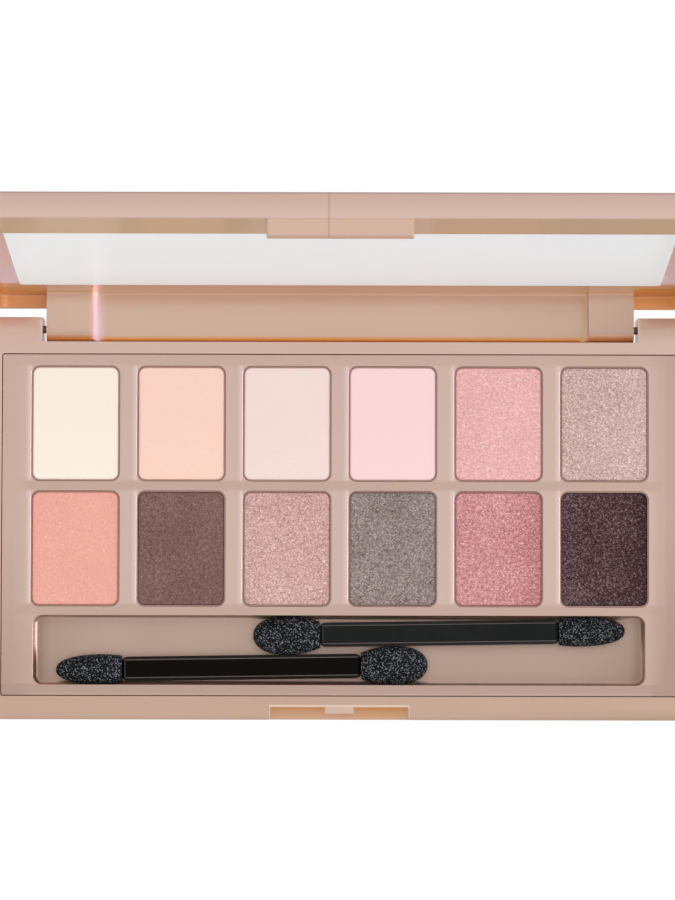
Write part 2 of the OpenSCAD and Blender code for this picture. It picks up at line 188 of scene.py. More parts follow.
class Finish(Nodes):
    """A material, whose patterns lie on Object coordinates."""

    def __init__(self, name):
        self.material = bpy.data.materials.new(name)
        self.material.use_nodes = True
        super().__init__(self.material.node_tree)
        self.shader = self.tree.nodes["Principled BSDF"]
        self.place = self.node("ShaderNodeTexCoord", out="Object")

    def set(self, **sockets):
        """Feeds the main shader; underscores in a name stand for spaces."""
        for key, value in sockets.items():
            self.feed(self.shader.inputs[key.replace("_", " ")], value)

    def axes(self, vector=None):
        """The X, Y and Z of a place on the piece."""
        return self.node(
            "ShaderNodeSeparateXYZ",
            inputs={"Vector": vector or self.place},
            out=("X", "Y", "Z"),
        )

    def noise(self, size, detail=2.0, roughness=0.5, squeeze=None):
        """Soft noise from 0 to 1 whose features are about size metres across."""
        place = self.place
        if squeeze:
            place = self.node("ShaderNodeMapping", inputs={"Vector": place, "Scale": squeeze})
        return self.node(
            "ShaderNodeTexNoise",
            {"noise_dimensions": "3D"},
            {"Vector": place, "Scale": 1 / size, "Detail": detail, "Roughness": roughness},
        )

    def specks(self, size):
        """Grains about size metres across, each with a value of its own from 0 to 1."""
        grains = self.node(
            "ShaderNodeTexVoronoi",
            {"voronoi_dimensions": "3D", "feature": "F1"},
            {"Vector": self.place, "Scale": 1 / size, "Randomness": 1.0},
            out="Color",
        )
        return self.node("ShaderNodeSeparateColor", inputs={"Color": grains}, out="Red")

    def mix(self, factor, low, high):
        """Colour between low and high; a Mix node keeps its colours at 6, 7 and 2."""
        return self.node(
            "ShaderNodeMix",
            {"data_type": "RGBA"},
            {0: factor, 6: low, 7: high},
            out=2,
        )

    def layered(self, body, *layers):
        """Colour with layers over it, each with its share and its tint."""
        for share, tint in layers:
            body = self.mix(share, body, tint)
        return body

    def bump(self, height, distance):
        return self.node(
            "ShaderNodeBump",
            inputs={"Height": height, "Distance": distance, "Strength": 1.0},
            out="Normal",
        )


def colour(red, green, blue):
    """Linear colour from 0-255 display values."""
    def linear(value):
        share = value / 255
        return share / 12.92 if share <= 0.04045 else ((share + 0.055) / 1.055) ** 2.4
    return (linear(red), linear(green), linear(blue), 1.0)


def dress(node, finish):
    """Gives a CAD node its finish."""
    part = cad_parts[node]
    part.data.materials.clear()
    part.data.materials.append(finish.material)


LACQUER_METALLIC = 0.92
LACQUER_ROUGHNESS = 0.30
LACQUER_CLOUD = 22 * MM
LACQUER_PEEL = 0.55 * MM
LACQUER_PEEL_HEIGHT = 0.004 * MM
# Ground of the lacquer, with painted light that turns it rose towards the back and
# painted shade that dims it on the right
LACQUER_DEEP = colour(222, 186, 164)
LACQUER_LIGHT = colour(228, 193, 172)
LACQUER_REAR_LIGHT = colour(239, 207, 193)
LACQUER_RIGHT_SHADE = colour(168, 138, 112)
REAR_FROM = -30 * MM
REAR_RUN = 60 * MM
RIGHT_FROM = 20 * MM
RIGHT_RUN = 40 * MM
FRONT_SOFT = 2 * MM
# Thumb notch, painted orange inside as a reflection and lighter towards its front,
# and the nib in it; its edges and the nib carry a painted highlight
LACQUER_NOTCH_REFLECTION = colour(234, 164, 92)
LACQUER_HIGHLIGHT = colour(255, 226, 204)
NOTCH_HALF = 13.25 * MM
NOTCH_BACK = -36.96 * MM
NOTCH_FADE = 2.4 * MM
NOTCH_FLOOR = 3.9 * MM
NOTCH_TOP = 8.3 * MM
NOTCH_EDGE = 0.45 * MM
NIB_HALF = 2.85 * MM
NIB_FRONT = -38.3 * MM
# Hinge block: its foot, painted orange as a reflection, its two end knuckles, the
# blend and the fold between them and its middle, which carry painted highlights and
# reflections, and the painted light along its back
LACQUER_SAND_LIGHT = colour(240, 200, 156)
LACQUER_FOOT_REFLECTION = colour(242, 160, 74)
LACQUER_KNUCKLE_REFLECTION = colour(255, 186, 100)
LACQUER_OLIVE_REFLECTION = colour(216, 180, 130)
LACQUER_LILAC_LIGHT = colour(255, 226, 238)
FOOT_FRONT = 34.62 * MM
FOOT_BACK = 36.15 * MM
FOOT_SOFT = 0.7 * MM
FOOT_TOP = 9.3 * MM
LIP_REACH = 0.4 * MM
KNUCKLE_SIDE = 48.9 * MM
BLEND_SIDE = 47.75 * MM
BLEND_LEFT_SHIFT = 0.2 * MM
BLEND_REACH = 1.1 * MM
BLEND_LEFT_MORE = 0.5 * MM
FOLD_SIDE = 48.62 * MM
FOLD_REACH = 0.35 * MM
SHINE_FRONT = 41.2 * MM
SHINE_RUN = 3.2 * MM
BLOCK_BACK = 44.4 * MM
BLOCK_TOP = 9.2 * MM
CREASE_REACH = 0.25 * MM
CREASE_OVER = 0.3 * MM
# Slots beside the block, painted amber as a reflection, and the corners of the case
# beside them, which carry a painted highlight along their edges
LACQUER_SLOT_REFLECTION = colour(255, 198, 116)
SLOT_SIDE = 57.9 * MM
SLOT_FRONT = 41.2 * MM
SLOT_BACK = 45.3 * MM
SLOT_LOW = 0.5 * MM
SLOT_TOP = 16 * MM
SLOT_FADE = 5 * MM
CORNER_SIDE = 58.45 * MM
CORNER_SOFT = 3 * MM
CORNER_EDGE = 0.7 * MM
# Inside of the open lid. It leans back, so its height is measured along that lean.
# It has a strip behind the block and two cheeks beside the window, painted sand and
# lilac as reflected light. Its rim, which meets the case, faces forward and is painted
# olive as a reflection.
LACQUER_RIM_REFLECTION = colour(216, 184, 139)
LID_LEAN = 0.1263
SIDE_FACE = 70.6 * MM
INNER_BACK = 45.7 * MM
STRIP_BACK = 46.2 * MM
STRIP_LOW = 2 * MM
STRIP_TOP = 13.2 * MM
CHEEK_LIGHT_RUN = 60 * MM
WINDOW_HALF = 62.6 * MM
RIM_BACK = 52.2 * MM
RIM_LOW = 67.6 * MM
RIM_SOFT = 0.2 * MM
RIM_SOFT_SIDE = 14 * MM
RAIL_RUN = 6 * MM
# Head of the open lid and the latch tab on it, both of which face up; painted shade
# greys the head towards its back and the tab carries a painted highlight
LACQUER_TAB_HIGHLIGHT = colour(232, 190, 166)
LACQUER_HEAD_SHADE = colour(204, 169, 158)
LACQUER_SEAM = colour(176, 140, 120)
HEAD_FROM = 86.0 * MM
HEAD_EDGE = 0.3 * MM
HEAD_DEEP = 4.9 * MM
BRINK = 56.0 * MM
TAB_ROOT = 51.45 * MM
ROOT_REACH = 0.12 * MM
SEAM_SIDE = -2.1 * MM
SEAM_REACH = 0.25 * MM

lacquer = Finish("rose_lacquer")
cloud = lacquer.noise(LACQUER_CLOUD)
orange_peel = lacquer.noise(LACQUER_PEEL)
across, depth, height = lacquer.axes()
off_centre = across.size()
on_left = across < 0.0
on_right = 1.0 - on_left

# Thumb notch: painted orange reflection inside it, fading towards its front, with painted
# highlights on its edges and nib
on_nib = (off_centre < NIB_HALF) * (depth > NIB_FRONT)
nib_face = on_nib * (depth < NOTCH_BACK) * (height < NOTCH_TOP)
in_notch = (
    (off_centre < NOTCH_HALF)
    * (depth < NOTCH_BACK)
    * height.between(NOTCH_FLOOR, NOTCH_TOP)
    * (1.0 - on_nib)
)
notch_fade = depth.fall(NOTCH_BACK, NOTCH_FADE) * in_notch
beside_notch = (off_centre - NOTCH_HALF).larger(depth - NOTCH_BACK)
notch_edge = beside_notch.between(0.0, NOTCH_EDGE) * (height > NOTCH_TOP) * (depth < 0.0)

# Hinge block: painted orange reflection at its foot, a lilac painted highlight on the left blend,
# an olive painted reflection on the right, and a sand painted light over it
on_block = (
    (off_centre < SLOT_SIDE)
    * depth.between(FOOT_FRONT, BLOCK_BACK)
    * height.between(NOTCH_FLOOR, BLOCK_TOP)
)
knuckle = off_centre > KNUCKLE_SIDE
at_foot = (
    (off_centre < SLOT_SIDE)
    * (depth > FOOT_FRONT)
    * depth.fall(FOOT_BACK, FOOT_SOFT)
    * height.between(NOTCH_FLOOR, FOOT_TOP)
)
lip = depth.line(FOOT_BACK, LIP_REACH) * knuckle * on_block
blend = on_block * off_centre.line(
    BLEND_SIDE + on_left * BLEND_LEFT_SHIFT, BLEND_REACH + on_left * BLEND_LEFT_MORE
)
fold = off_centre.line(FOLD_SIDE, FOLD_REACH, peak=1.2) * on_block * on_right
shine = depth.rise(SHINE_FRONT, SHINE_RUN) * on_block
crease = depth.line(BLOCK_BACK, CREASE_REACH) * (height < BLOCK_TOP + CREASE_OVER)

inside = (off_centre < SIDE_FACE) * (depth - height * LID_LEAN < INNER_BACK)
# Slots are painted amber as a reflection in the hollow; corner edges carry a painted highlight
in_slot = (
    (off_centre > SLOT_SIDE)
    * depth.between(SLOT_FRONT, SLOT_BACK)
    * (height > SLOT_LOW)
    * height.fall(SLOT_TOP, SLOT_FADE)
    * inside
)
at_corner = (
    (off_centre > CORNER_SIDE)
    * depth.rise(FOOT_FRONT, CORNER_SOFT)
    * height.between(NOTCH_TOP, BLOCK_TOP)
)
corner_edge = off_centre.fall(CORNER_SIDE + CORNER_EDGE, CORNER_EDGE) * at_corner

on_strip = depth.between(BLOCK_BACK, STRIP_BACK) * height.between(STRIP_LOW, STRIP_TOP) * inside
# Painted light: the inner cheeks are painted lilac, most strongly at their low end
blush = (
    (off_centre > WINDOW_HALF)
    * depth.between(BLOCK_BACK, RIM_BACK)
    * (height > STRIP_TOP)
    * height.fall(STRIP_TOP + CHEEK_LIGHT_RUN, CHEEK_LIGHT_RUN)
    * inside
)
along_lid = height + depth * LID_LEAN
rail = off_centre.rise(WINDOW_HALF, RAIL_RUN)
# The lid's rim is painted olive as a reflection of what it faces
on_rim = (
    height.rise(RIM_LOW, RIM_SOFT + rail * RIM_SOFT_SIDE)
    * (along_lid < HEAD_FROM + HEAD_EDGE)
    * (depth < RIM_BACK)
    * inside
)

on_head = along_lid > HEAD_FROM
# Painted shade greys the head towards its back
head_shade = depth.rise(TAB_ROOT, HEAD_DEEP) * 0.55 + (depth > BRINK) * 0.3
root = depth.line(TAB_ROOT, ROOT_REACH) * (off_centre < NOTCH_HALF)
seam = across.line(SEAM_SIDE, SEAM_REACH)

# Painted light makes the lacquer lighter and rose towards the back; painted shade dims it on the
# right
rear = ((depth - REAR_FROM) / REAR_RUN - (on_block + on_strip) * 0.7 - at_corner * 0.5).clamped()
front = depth.fall(NOTCH_BACK, FRONT_SOFT)
lacquer_shade_right = across.rise(RIGHT_FROM, RIGHT_RUN) * (on_block + (at_corner + front) * 0.8)
# Painted highlights: notch edges and nib, knuckle lip, block back, crease and fold, right corner
# edge
painted_highlight = (
    notch_edge
    + notch_fade * 0.15
    + nib_face * 0.75
    + lip * 0.8
    + shine * 0.3
    + crease * 0.7
    + fold * 0.5
    + corner_edge * on_right * 0.6
)
matt = (
    on_rim * 0.6
    + fold * 0.7
    + blend * on_left * 0.45
    + blush * 0.7
    + at_foot * knuckle * 0.6
)
lacquer.set(
    Base_Color=lacquer.layered(
        lacquer.mix(cloud, LACQUER_DEEP, LACQUER_LIGHT),
        (rear * 0.9, LACQUER_REAR_LIGHT),
        (on_block * 0.1 + on_strip * 0.5 + at_corner * 0.25, LACQUER_SAND_LIGHT),
        (in_notch * (0.88 - on_left * 0.1) - notch_fade * 0.5, LACQUER_NOTCH_REFLECTION),
        (at_foot, lacquer.mix(knuckle, LACQUER_FOOT_REFLECTION, LACQUER_KNUCKLE_REFLECTION)),
        (in_slot * (0.85 - on_left * 0.2), LACQUER_SLOT_REFLECTION),
        (lacquer_shade_right * 0.3, LACQUER_RIGHT_SHADE),
        (blend * on_right * 0.45, LACQUER_OLIVE_REFLECTION),
        ((blend * 0.9 + corner_edge * 0.8) * on_left + blush, LACQUER_LILAC_LIGHT),
        (painted_highlight.clamped(), LACQUER_HIGHLIGHT),
        (on_head * (depth < TAB_ROOT) * 0.6, LACQUER_TAB_HIGHLIGHT),
        (on_head * head_shade, LACQUER_HEAD_SHADE),
        (on_head * (seam * 0.5 + root * 0.4).clamped(), LACQUER_SEAM),
        (on_rim * 0.9, LACQUER_RIM_REFLECTION),
    ),
    Metallic=LACQUER_METALLIC - matt,
    Roughness=(
        LACQUER_ROUGHNESS
        + (cloud - 0.5) * 0.08
        + (on_rim + blend * on_left) * 0.2
        + in_slot * 0.35
    ),
    Coat_Weight=0.4,
    Coat_Roughness=0.12,
    Normal=lacquer.bump(orange_peel, LACQUER_PEEL_HEIGHT),
)
for node in ("base_case", "lid_frame"):
    dress(node, lacquer)


# ---------------------------------------------------------------------------
# Tray. The insert is moulded in the same colour but left a little duller,
# with a fine spark-eroded grain from its mould.
# ---------------------------------------------------------------------------
TRAY_CLOUD = 18 * MM
TRAY_GRAIN = 0.12 * MM
TRAY_GRAIN_HEIGHT = 0.002 * MM
TRAY_DEEP = colour(219, 189, 173)
TRAY_LIGHT = colour(227, 198, 184)
TRAY_SHADE = colour(198, 168, 154)
TRAY_SHINE = colour(236, 207, 195)
TRAY_HIGHLIGHT = colour(255, 232, 228)
TRAY_WALL_SHADE = colour(150, 108, 84)
TRAY_FLOOR_TONE_AND_SHADE = colour(124, 106, 72)
# Ribs between the cells, with soft edges: those between columns are painted lighter
# and carry a painted highlight along their right edge; those between rows take painted shade
CELL_LEFT = -60.53 * MM
PITCH = 20.74 * MM
CELLS_SIDE = 64 * MM
CELLS_SIDE_SOFT = 3 * MM
CELLS_FRONT = -17 * MM
CELLS_BACK = 30.2 * MM
ROW_GAPS = (6.4 * MM, -18.0 * MM)
GAP_HALF = 0.95 * MM
RIB_SOFT = 0.6 * MM
LIT_WIDTH = 1.1 * MM
LIT_RUN = 0.9 * MM
# Rim round the cells: painted shade darkens it towards the front, on the right and at
# its low ends, and a painted highlight lies along its front edge
STRIP_FRONT = -32.5 * MM
FRONT_EDGE = -34.25 * MM
FRONT_RUN = 14 * MM
MARGIN_SIDE = 60.5 * MM
MARGIN_RUN = 4 * MM
LOW_RUN = 20 * MM
# Applicator well: its floor is mottled olive and painted shade darkens it towards its
# ends; its left wall carries a painted highlight above and painted shade below
WELL_FLOOR = 3.3 * MM
ENDS_FROM = 46 * MM
ENDS_RUN = 14 * MM
BRIM_FROM = 57 * MM
BRIM_RUN = 2.5 * MM
WALL_SIDE = -59.1 * MM
WALL_MIDDLE = -25.0 * MM
WALL_RUN = 1.5 * MM
TRAY_TOP = 8.2 * MM

tray_skin = Finish("tray_satin")
cloud = tray_skin.noise(TRAY_CLOUD)
grain = tray_skin.noise(TRAY_GRAIN, 3)
across, depth, height = tray_skin.axes()
off_centre = across.size()

beside = off_centre.fall(CELLS_SIDE, CELLS_SIDE_SOFT)
gaps = [(depth - gap).size().fall(GAP_HALF + RIB_SOFT / 2, RIB_SOFT) for gap in ROW_GAPS]
between_rows = (gaps[0] + gaps[1]) * beside
within = depth.rise(CELLS_FRONT, RIB_SOFT) * depth.fall(CELLS_BACK, RIB_SOFT)
between_columns = within * beside * (1.0 - between_rows)
column = ((across - CELL_LEFT) / PITCH).fraction() * PITCH
# Painted highlight along the right edge of each rib
lit_side = column.rise(PITCH - LIT_WIDTH, LIT_RUN) * between_columns

# Painted shade: front, right margin and low ends; painted highlight on the front edge
front = depth.fall(CELLS_FRONT, FRONT_RUN) * 0.3 + (depth < STRIP_FRONT) * 0.4
margin = across.rise(MARGIN_SIDE, MARGIN_RUN) * 0.4
low_ends = off_centre.rise(MARGIN_SIDE, MARGIN_RUN) * depth.fall(0.0, LOW_RUN) * 0.45

# Painted shade on the well floor near its ends and walls
ends = off_centre.rise(ENDS_FROM, ENDS_RUN) * 0.12 + off_centre.rise(BRIM_FROM, BRIM_RUN) * 0.25
on_wall = (across < WALL_SIDE) * height.between(WELL_FLOOR, TRAY_TOP) * (depth < CELLS_FRONT)
tray_skin.set(
    Base_Color=tray_skin.layered(
        tray_skin.mix(cloud, TRAY_DEEP, TRAY_LIGHT),
        (between_columns * 0.5, TRAY_SHINE),
        (lit_side * 0.7 + (depth < FRONT_EDGE) * 0.6, TRAY_HIGHLIGHT),
        ((between_rows * 0.25 + front + margin + low_ends).clamped(), TRAY_SHADE),
        (on_wall * 0.4, TRAY_HIGHLIGHT),
        (on_wall * depth.fall(WALL_MIDDLE, WALL_RUN) * 0.85, TRAY_WALL_SHADE),
        ((height < WELL_FLOOR) * (cloud * 0.34 + ends), TRAY_FLOOR_TONE_AND_SHADE),
    ),
    Metallic=0.85,
    Roughness=0.34 + grain * 0.06,
    Coat_Weight=0.10,
    Coat_Roughness=0.30,
    Normal=tray_skin.bump(grain, TRAY_GRAIN_HEIGHT),
)
dress("pan_tray", tray_skin)


# ---------------------------------------------------------------------------
# Pans and glue. Each pan is pressed from tinplate, bright on its rim and
# drawn in fine lines down its wall. A dot of hot-melt holds it in its cell.
# ---------------------------------------------------------------------------
PAN_COUNT = 12
DRAWN_LINE = 0.1 * MM
DRAWN_SQUEEZE = (1, 1, 0.08)
TIN_DARK_REFLECTING_TRAY = colour(168, 132, 120)
TIN_BRIGHT_REFLECTING_TRAY = colour(206, 170, 158)
GLUE_CLOUD = 1.5 * MM
GLUE_DARK = colour(214, 206, 182)
GLUE_LIGHT = colour(236, 230, 210)

# The tinplate's drawn lines are its own; its pink tint is a painted reflection of the tray
tinplate = Finish("tinplate")
drawn = tinplate.noise(DRAWN_LINE, squeeze=DRAWN_SQUEEZE)
tinplate.set(
    Base_Color=tinplate.mix(drawn, TIN_DARK_REFLECTING_TRAY, TIN_BRIGHT_REFLECTING_TRAY),
    Metallic=0.8,
    Roughness=0.35 + drawn * 0.2,
)
for number in range(1, PAN_COUNT + 1):
    dress(f"pan_{number:02d}", tinplate)

glue = Finish("hot_melt")
cloud = glue.noise(GLUE_CLOUD)
glue.set(
    Base_Color=glue.mix(cloud, GLUE_DARK, GLUE_LIGHT),
    Roughness=0.35 + cloud * 0.15,
)
dress("glue_dots", glue)


# ---------------------------------------------------------------------------
# Powders. Each cake is pressed into its pan by a flat punch: its face is all
# but flat, rounds off at the edge and keeps the grain of the powder. The
# matte ones are chalky; the shimmer ones hold flakes of mica.
# ---------------------------------------------------------------------------
# Colour of each cake, how far its grain swings about it, its share of mica, and how
# much painted shade darkens it along its right side
MATTE, SATIN, SHIMMER = 0.0, 0.3, 1.0
CAKES = (
    ("cream", (255, 243, 229), 1, MATTE, 0.0),
    ("peach", (255, 217, 200), 3, MATTE, 0.0),
    ("pale_beige", (247, 226, 219), 2, MATTE, 0.0),
    ("pale_pink", (255, 220, 220), 1, MATTE, 0.0),
    ("shimmer_pink", (240, 182, 180), 18, SHIMMER, 0.0),
    ("shimmer_taupe", (205, 175, 168), 31, SHIMMER, 0.0),
    ("coral", (240, 174, 158), 9, SATIN, 0.0),
    ("brown", (125, 95, 88), 22, SATIN, 0.0),
    ("dusty_rose", (207, 165, 160), 30, SHIMMER, 0.0),
    ("grey_taupe", (142, 127, 122), 35, SHIMMER, 0.0),
    ("deep_rose", (205, 142, 144), 33, SHIMMER, 0.15),
    ("dark_plum", (72, 44, 47), 50, SHIMMER, 0.2),
)
GRAIN_SIZE = 0.19 * MM
CLUMP_SIZE = 0.6 * MM
BLUSH_SIZE = 9 * MM
FLAKE_SIZE = 0.21 * MM
PIT_SIZE = 0.17 * MM
PIT_LEVEL = 0.37
PIT_SOFT = 0.04
GRAIN_SWING = 1.8
GRAIN_BUMP = 0.012 * MM
# Flakes above these levels shine, look like metal and glint
FLAKE_SHINES = 0.55
FLAKE_METAL = 0.7
FLAKE_GLINTS = 0.95
GRAIN_GLINTS = 0.42
# Mesh of a cake: the step of its grid, its corners, edge and crown, and its depth
CAKE_STEP = 0.2 * MM
CAKE_CORNER = 1.45 * MM
CAKE_EDGE = 0.3 * MM
CAKE_CROWN = 0.05 * MM
CAKE_SKIRT = 2.0 * MM
# Real grain in the face, coarser with mica; only what faces up enough takes it
PRESSED_SIZE = 0.45 * MM
PRESSED_DEPTH = 0.012 * MM
FACES_UP = 0.3


def powder_finish(name, tint, swing, mica, cake_right_shade, low, high):
    """Pressed powder: chalk grain, and flakes of mica that each catch the light."""
    finish = Finish(f"powder_{name}")
    fine = finish.noise(GRAIN_SIZE, 2, 0.65)
    clumps = finish.noise(CLUMP_SIZE)
    blush = finish.noise(BLUSH_SIZE, 1)
    pits = finish.noise(PIT_SIZE, 1)
    flake = finish.specks(FLAKE_SIZE)
    across = finish.axes()[0]
    # Painted shade darkens the right side of a cake
    right_side = across.rise((low.x + high.x) / 2, (high.x - low.x) / 2) ** 1.5
    level = (
        0.5
        + (fine - 0.5) * 1.5
        + (clumps - 0.5) * 0.7
        + (blush - 0.5) * 0.25
        + (flake - 0.5) * (0.1 + 0.2 * mica)
        - pits.fall(PIT_LEVEL, PIT_SOFT) * (0.25 * mica)
        - right_side * cake_right_shade
    )
    # Painted highlight: a few flakes are painted bright as glints
    glint = (flake > FLAKE_GLINTS) * (fine > GRAIN_GLINTS) * (0.55 * mica)
    base = colour(*tint)
    dark = colour(*(max(channel - GRAIN_SWING * swing, 0) for channel in tint))
    light = colour(*(min(channel + GRAIN_SWING * swing, 255) for channel in tint))
    bright = (*(min(channel * 1.6 + 0.18, 1.0) for channel in base[:3]), 1.0)
    finish.set(
        Base_Color=finish.layered(
            dark,
            ((level * 2.0).clamped(), base),
            ((level * 2.0 - 1.0).clamped(), light),
            (glint, bright),
        ),
        Roughness=0.9 - (flake > FLAKE_SHINES) * (0.35 * mica),
        Metallic=(flake > FLAKE_METAL) * (0.3 * mica),
        Normal=finish.bump(fine + flake * mica, GRAIN_BUMP),
        Specular_IOR_Level=0.15 + 0.15 * mica,
    )
    return finish


def new_piece(name, points, faces):
    """Piece with a mesh of its own, put in the scene."""
    mesh = bpy.data.meshes.new(name)
    mesh.from_pydata(points, [], faces)
    mesh.update()
    piece = bpy.data.objects.new(name, mesh)
    bpy.context.scene.collection.objects.link(piece)
    return piece


def rounded_corner(x, y, half_x, half_y, radius):
    """Bends the square corner of a grid into an arc, without folding it."""
    over_x = abs(x) - (half_x - radius)
    over_y = abs(y) - (half_y - radius)
    if over_x <= 0 or over_y <= 0:
        return x, y
    pull = max(over_x, over_y) / math.hypot(over_x, over_y)
    new_x = half_x - radius + over_x * pull
    new_y = half_y - radius + over_y * pull
    return math.copysign(new_x, x), math.copysign(new_y, y)


def cake_mesh(name, low, high):
    """Closed cake between two corners: a fine top grid with a round edge, walls, a base."""
    half_x = (high.x - low.x) / 2
    half_y = (high.y - low.y) / 2
    middle = (low + high) / 2
    across = round(2 * half_x / CAKE_STEP)
    along = round(2 * half_y / CAKE_STEP)
    points = []
    for row in range(along + 1):
        for column in range(across + 1):
            x = -half_x + 2 * half_x * column / across
            y = -half_y + 2 * half_y * row / along
            inside = min(half_x - abs(x), half_y - abs(y))
            crown = CAKE_CROWN * (1 - (x / half_x) ** 4) * (1 - (y / half_y) ** 4)
            drop = 0.0
            if inside < CAKE_EDGE:
                drop = CAKE_EDGE * (1 - math.sqrt(1 - (1 - inside / CAKE_EDGE) ** 2))
            x, y = rounded_corner(x, y, half_x, half_y, CAKE_CORNER)
            points.append((middle.x + x, middle.y + y, high.z - CAKE_CROWN + crown - drop))
    faces = []
    width = across + 1
    for row in range(along):
        for column in range(across):
            corner = row * width + column
            faces.append((corner, corner + 1, corner + width + 1, corner + width))
    rim = list(range(across + 1))
    rim += [row * width + across for row in range(1, along + 1)]
    rim += [along * width + column for column in range(across - 1, -1, -1)]
    rim += [row * width for row in range(along - 1, 0, -1)]
    foot = len(points)
    for index in rim:
        x, y, z = points[index]
        points.append((x, y, high.z - CAKE_SKIRT))
    count = len(rim)
    for step in range(count):
        after = (step + 1) % count
        faces.append((rim[step], foot + step, foot + after, rim[after]))
    faces.append(tuple(range(foot + count - 1, foot - 1, -1)))
    return new_piece(name, points, faces)


class Recipe(Nodes):
    """A Geometry Nodes tree that takes its sizes as named inputs."""

    def __init__(self, name, **kinds):
        super().__init__(bpy.data.node_groups.new(name, "GeometryNodeTree"))
        kinds = {"Geometry": "Geometry"} | kinds
        names = tuple(kinds)
        for label in names:
            self.socket(label, "INPUT", kinds[label])
        self.socket("Geometry", "OUTPUT", "Geometry")
        self.given = dict(zip(names, self.node("NodeGroupInput", out=names)))

    def socket(self, label, way, kind):
        self.tree.interface.new_socket(label, in_out=way, socket_type=f"NodeSocket{kind}")

    def end(self, geometry):
        """Makes instances real, puts the finish on and closes the tree."""
        real = self.node("GeometryNodeRealizeInstances", inputs={0: geometry})
        painted = self.node(
            "GeometryNodeSetMaterial",
            inputs={"Geometry": real, "Material": self.given["Finish"]},
        )
        self.node("NodeGroupOutput", inputs={0: painted}, out=())

    def apply(self, piece, **values):
        """Runs the tree on a piece and keeps the result as a plain mesh."""
        modifier = piece.modifiers.new(self.tree.name, "NODES")
        modifier.node_group = self.tree
        for item in self.tree.interface.items_tree:
            if item.in_out == "INPUT" and item.name in values:
                modifier[item.identifier] = values[item.name]
        bpy.context.view_layer.update()
        result = bpy.data.meshes.new_from_object(
            piece.evaluated_get(bpy.context.evaluated_depsgraph_get())
        )
        piece.modifiers.clear()
        piece.data = result


def pressed_grain():
    """Sinks the face of a cake here and there by the grain of its powder."""
    tree = Recipe(
        "powder_grain",
        Grain_Size="Float",
        Grain_Depth="Float",
        Seed="Float",
        Finish="Material",
    )
    noise = tree.node(
        "ShaderNodeTexNoise",
        {"noise_dimensions": "4D"},
        {
            "Vector": tree.node("GeometryNodeInputPosition"),
            "W": tree.given["Seed"],
            "Scale": 1.0 / tree.given["Grain_Size"],
            "Detail": 2.0,
        },
    )
    normal = tree.node("GeometryNodeInputNormal")
    upright = tree.node("ShaderNodeSeparateXYZ", inputs={0: normal}, out="Z")
    sunk = tree.node(
        "ShaderNodeCombineXYZ", inputs={"Z": (noise - 1.0) * tree.given["Grain_Depth"]}
    )
    moved = tree.node(
        "GeometryNodeSetPosition",
        inputs={
            "Geometry": tree.given["Geometry"],
            "Selection": upright > FACES_UP,
            "Offset": sunk,
        },
    )
    tree.end(moved)
    return tree


grain_recipe = pressed_grain()
for number, (name, tint, swing, mica, cake_right_shade) in enumerate(CAKES, start=1):
    node = f"powder_{number:02d}"
    low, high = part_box(node)
    cake = cake_mesh(f"cake_{number:02d}_{name}", low, high)
    finish = powder_finish(name, tint, swing, mica, cake_right_shade, low, high)
    grain_recipe.apply(
        cake,
        Grain_Size=PRESSED_SIZE,
        Grain_Depth=PRESSED_DEPTH * (1 + mica),
        Seed=float(number),
        Finish=finish.material,
    )
    cake.data.shade_smooth()
    dress(node, finish)
    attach(cake, "case")
    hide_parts(node)


# ---------------------------------------------------------------------------
# Hinge pins. Two ground steel pins are pressed in from the sides of the case
# and run in the hinge block; a glimpse of each shows in the slit beside it.
# ---------------------------------------------------------------------------
GROUND_LINE = 0.4 * MM
GROUND_SQUEEZE = (6, 1, 1)
STEEL_DARK = colour(92, 88, 88)
STEEL_BRIGHT = colour(128, 124, 122)

steel = Finish("pin_steel")
ground = steel.noise(GROUND_LINE, 3, squeeze=GROUND_SQUEEZE)
steel.set(
    Base_Color=steel.mix(ground, STEEL_DARK, STEEL_BRIGHT),
    Metallic=1.0,
    Roughness=0.22 + ground * 0.2,
)
for node in ("hinge_pin_left", "hinge_pin_right"):
    dress(node, steel)


# ---------------------------------------------------------------------------
# Window. A sheet of clear moulded plastic lies in a rebate of the lid. It is
# colourless and see-through from in front; looked at along its face it gives
# back the white room and hides what lies behind, as such plastic does.
# ---------------------------------------------------------------------------
SHEET_HAZE = 30 * MM
SHEET_DIM = colour(244, 247, 249)
SHEET_CLEAR = colour(247, 250, 251)
SHEET_LOW_PAINTED_COOL = colour(251, 255, 255)
SHEET_PAINTED_GLOW = (0.80, 0.94, 0.96, 1.0)
LOW_END = 70 * MM
LOW_END_RUN = 50 * MM
# How much it hides from in front, and how much more at a slant
FRONT_HIDES = 0.10
SLANT_HIDES = 0.86
SLANT_FROM = 0.66
SLANT_RUN = 0.11

clear = Finish("clear_sheet")
haze = clear.noise(SHEET_HAZE)
slant = clear.node("ShaderNodeLayerWeight", inputs={"Blend": 0.5}, out="Facing")
height = clear.axes()[2]
# Painted light: the sheet glows faintly, and is painted cooler towards its low end against pink
# light bounced onto it
clear.set(
    Base_Color=clear.mix(
        height.fall(LOW_END, LOW_END_RUN), clear.mix(haze, SHEET_DIM, SHEET_CLEAR), SHEET_LOW_PAINTED_COOL
    ),
    Roughness=0.3 + haze * 0.05,
    Alpha=FRONT_HIDES + slant.rise(SLANT_FROM, SLANT_RUN) * SLANT_HIDES,
    Emission_Color=SHEET_PAINTED_GLOW,
    Emission_Strength=0.18,
    Specular_IOR_Level=0.1,
)
dress("lid_window", clear)


